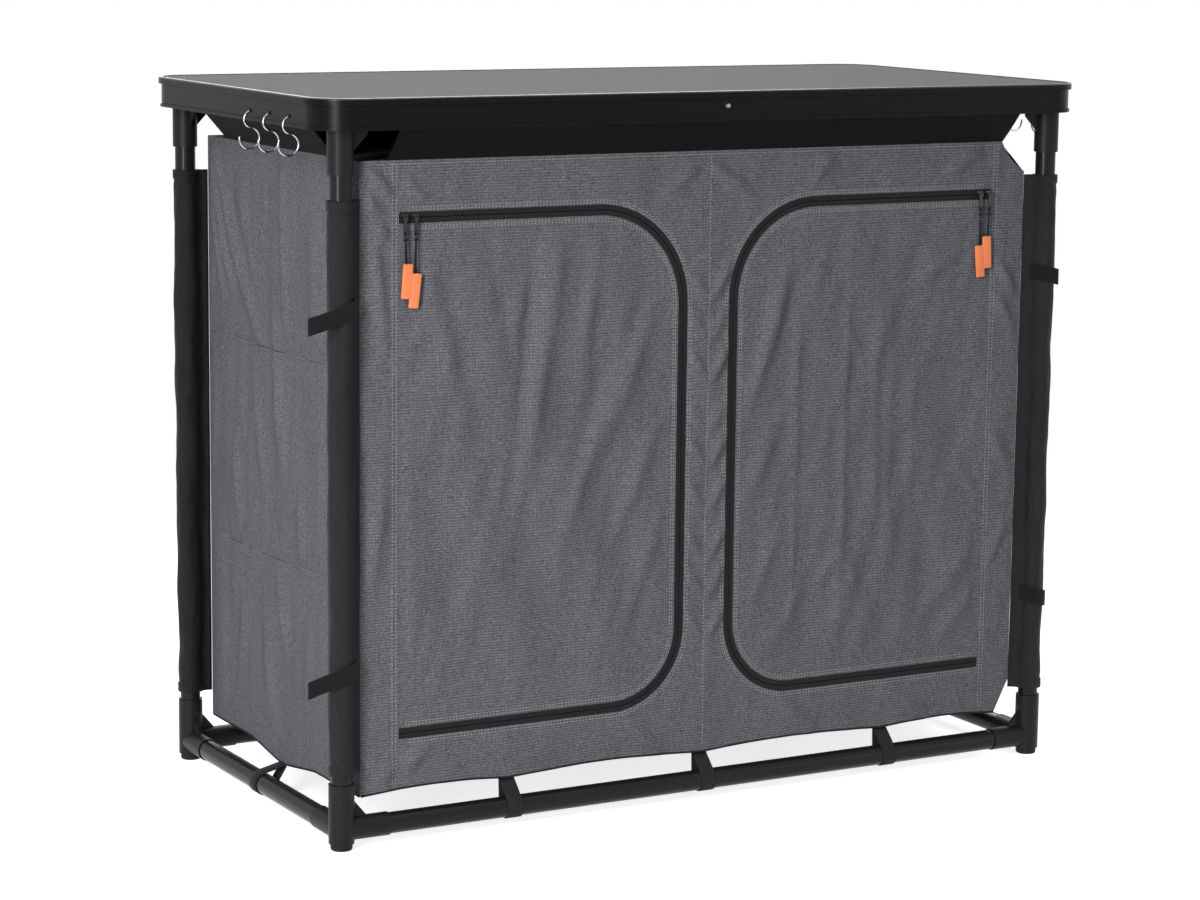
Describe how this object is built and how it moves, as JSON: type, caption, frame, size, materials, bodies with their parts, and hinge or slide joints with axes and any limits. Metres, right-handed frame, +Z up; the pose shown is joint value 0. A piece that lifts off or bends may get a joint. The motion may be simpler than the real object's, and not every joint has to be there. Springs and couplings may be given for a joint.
{
  "type": "camping cupboard",
  "caption": "Folding-kitchen cupboard: a tube frame carries a lift-off worktop and a hanging cloth cabinet with zipped doors.",
  "frame": {"origin": "on the floor, midway between the four legs", "axes": "+X to the right along the worktop's length, +Y to the back, +Z up"},
  "size_m": [1.068, 0.522, 0.8616],
  "materials": {
    "black_tube": "satin black powder coat",
    "black_moulding": "fine-grained black moulding",
    "black_foot": "matt black",
    "black_rim": "satin black extrusion",
    "grey_board": "grey laminate face",
    "brace_metal": "satin black",
    "rivet_metal": "dark satin",
    "screw_metal": "zinc plated",
    "chrome_wire": "bright chrome",
    "grey_cloth": "two-tone woven grey",
    "black_cloth": "black coated cloth",
    "black_webbing": "black webbing",
    "zip_tape": "black zip tape with coil",
    "zip_metal": "black lacquer",
    "orange_tag": "bright orange"
  },
  "bodies": {
    "frame": {"leg_front_left": "black_tube", "leg_front_right": "black_tube", "leg_rear_left": "black_tube", "leg_rear_right": "black_tube", "rail_front": "black_tube", "rail_rear": "black_tube", "rail_left": "black_tube", "rail_right": "black_tube", "connector_front_left": "black_moulding", "connector_front_right": "black_moulding", "connector_rear_left": "black_moulding", "connector_rear_right": "black_moulding", "foot_plugs": "black_foot", "front_panel": "grey_cloth", "back_panel": "grey_cloth", "side_panel_left": "grey_cloth", "side_panel_right": "grey_cloth", "top_panel": "grey_cloth", "bottom_panel": "grey_cloth", "centre_divider": "grey_cloth", "lower_shelves": "grey_cloth", "upper_shelves": "grey_cloth", "top_flaps": "black_cloth", "leg_sleeves": "black_cloth", "rail_loops": "black_webbing", "tie_straps": "black_webbing", "zip_frame_left": "zip_tape", "zip_frame_right": "zip_tape"},
    "worktop": {"socket_front_left": "black_moulding", "socket_front_right": "black_moulding", "socket_rear_left": "black_moulding", "socket_rear_right": "black_moulding", "worktop_rim": "black_rim", "worktop_board": "grey_board", "cross_brace": "brace_metal", "brace_rivets": "rivet_metal", "socket_screws": "screw_metal"},
    "hook_left_front": {"s_hook_left_front": "chrome_wire"},
    "hook_left_middle": {"s_hook_left_middle": "chrome_wire"},
    "hook_left_rear": {"s_hook_left_rear": "chrome_wire"},
    "hook_right_front": {"s_hook_right_front": "chrome_wire"},
    "hook_right_middle": {"s_hook_right_middle": "chrome_wire"},
    "hook_right_rear": {"s_hook_right_rear": "chrome_wire"},
    "door_left": {"door_left": "grey_cloth", "zip_door_left": "zip_tape"},
    "slider_left_outer": {"slider_left_outer": "zip_metal"},
    "pull_left_outer": {"puller_left_outer": "zip_metal", "tag_left_outer": "orange_tag"},
    "slider_left_inner": {"slider_left_inner": "zip_metal"},
    "pull_left_inner": {"puller_left_inner": "zip_metal", "tag_left_inner": "orange_tag"},
    "door_right": {"door_right": "grey_cloth", "zip_door_right": "zip_tape"},
    "slider_right_outer": {"slider_right_outer": "zip_metal"},
    "pull_right_outer": {"puller_right_outer": "zip_metal", "tag_right_outer": "orange_tag"},
    "slider_right_inner": {"slider_right_inner": "zip_metal"},
    "pull_right_inner": {"puller_right_inner": "zip_metal", "tag_right_inner": "orange_tag"}
  },
  "joints": [
    {"name": "worktop_lift", "type": "slide", "parent": "frame", "child": "worktop", "axis": [0, 0, 1], "range_m": [0, 0.12]},
    {"name": "hook_left_front_swing", "type": "hinge", "parent": "worktop", "child": "hook_left_front", "pos_m": [-0.5176, -0.1665, 0.83655], "axis": [1, 0, 0], "range_deg": [-30, 30]},
    {"name": "hook_left_middle_swing", "type": "hinge", "parent": "worktop", "child": "hook_left_middle", "pos_m": [-0.5176, -0.1115, 0.83655], "axis": [1, 0, 0], "range_deg": [-30, 30]},
    {"name": "hook_left_rear_swing", "type": "hinge", "parent": "worktop", "child": "hook_left_rear", "pos_m": [-0.5176, -0.0565, 0.83655], "axis": [1, 0, 0], "range_deg": [-30, 30]},
    {"name": "hook_right_front_swing", "type": "hinge", "parent": "worktop", "child": "hook_right_front", "pos_m": [0.5176, -0.1665, 0.83655], "axis": [1, 0, 0], "range_deg": [-30, 30]},
    {"name": "hook_right_middle_swing", "type": "hinge", "parent": "worktop", "child": "hook_right_middle", "pos_m": [0.5176, -0.1115, 0.83655], "axis": [1, 0, 0], "range_deg": [-30, 30]},
    {"name": "hook_right_rear_swing", "type": "hinge", "parent": "worktop", "child": "hook_right_rear", "pos_m": [0.5176, -0.0565, 0.83655], "axis": [1, 0, 0], "range_deg": [-30, 30]},
    {"name": "door_left_swing", "type": "hinge", "parent": "frame", "child": "door_left", "pos_m": [-0.41, -0.2199, 0.425], "axis": [0, 0, -1], "range_deg": [0, 90]},
    {"name": "slider_left_outer_run", "type": "slide", "parent": "door_left", "child": "slider_left_outer", "axis": [1, 0, 0], "range_m": [0, 0.115]},
    {"name": "pull_left_outer_swing", "type": "hinge", "parent": "slider_left_outer", "child": "pull_left_outer", "pos_m": [-0.40325, -0.2249, 0.724], "axis": [-1, 0, 0], "range_deg": [0, 160]},
    {"name": "slider_left_inner_run", "type": "slide", "parent": "slider_left_outer", "child": "slider_left_inner", "axis": [1, 0, 0], "range_m": [0, 0.115]},
    {"name": "pull_left_inner_swing", "type": "hinge", "parent": "slider_left_inner", "child": "pull_left_inner", "pos_m": [-0.38975, -0.2249, 0.724], "axis": [-1, 0, 0], "range_deg": [0, 160]},
    {"name": "door_right_swing", "type": "hinge", "parent": "frame", "child": "door_right", "pos_m": [0.41, -0.2199, 0.425], "axis": [0, 0, 1], "range_deg": [0, 90]},
    {"name": "slider_right_outer_run", "type": "slide", "parent": "door_right", "child": "slider_right_outer", "axis": [-1, 0, 0], "range_m": [0, 0.115]},
    {"name": "pull_right_outer_swing", "type": "hinge", "parent": "slider_right_outer", "child": "pull_right_outer", "pos_m": [0.40325, -0.2249, 0.724], "axis": [-1, 0, 0], "range_deg": [0, 160]},
    {"name": "slider_right_inner_run", "type": "slide", "parent": "slider_right_outer", "child": "slider_right_inner", "axis": [-1, 0, 0], "range_m": [0, 0.115]},
    {"name": "pull_right_inner_swing", "type": "hinge", "parent": "slider_right_inner", "child": "pull_right_inner", "pos_m": [0.38975, -0.2249, 0.724], "axis": [-1, 0, 0], "range_deg": [0, 160]}
  ]
}
